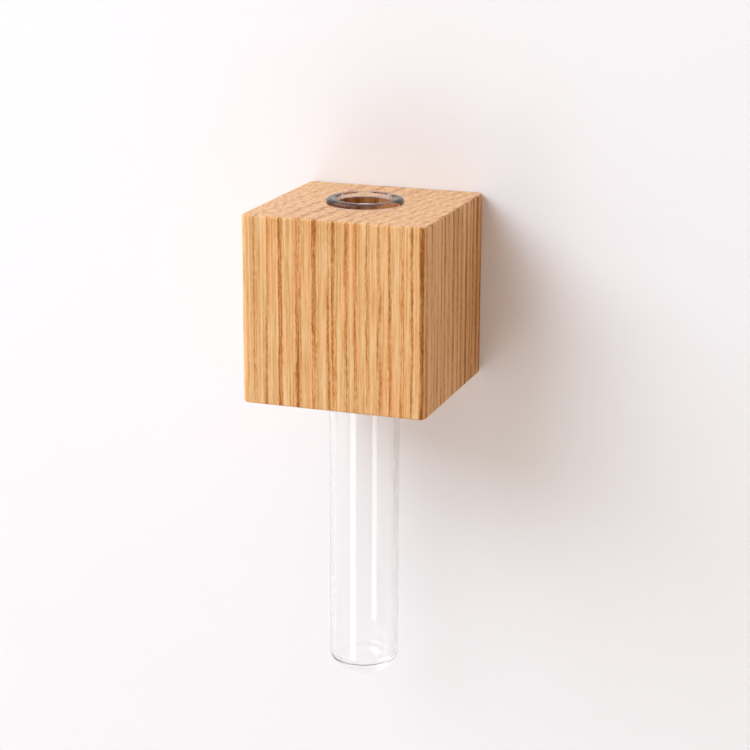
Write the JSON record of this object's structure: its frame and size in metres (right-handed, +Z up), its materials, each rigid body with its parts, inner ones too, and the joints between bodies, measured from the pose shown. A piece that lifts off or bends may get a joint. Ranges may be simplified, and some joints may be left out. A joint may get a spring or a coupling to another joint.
{
  "type": "test tube vase",
  "caption": "Wall vase: a wooden cube with magnets let into its back holds a lipped glass test tube, which hangs through an upright bore and lifts out to be filled.",
  "frame": {"origin": "centre of the cube's flat back face, which lies on the surface that the vase hangs on", "axes": "+Z up along the tube, +Y out of the back face into that surface, +X to the viewer's right"},
  "size_m": [0.04, 0.04, 0.1069],
  "materials": {
    "wood": "light ring-porous hardwood, clear matt oil",
    "clear_glass": "clear, fire-polished",
    "cup_steel": "turned, nickel-plated",
    "nickel_plate": "bright nickel",
    "screw_steel": "zinc-plated"
  },
  "bodies": {
    "holder": {"wood_block": "wood", "magnet_cups": "cup_steel", "magnet_rings": "nickel_plate", "magnet_screws": "screw_steel"},
    "tube": {"glass_tube": "clear_glass"}
  },
  "joints": [
    {"name": "tube_lift", "type": "slide", "parent": "holder", "child": "tube", "axis": [0, 0, 1], "range_m": [0, 0.11]}
  ]
}
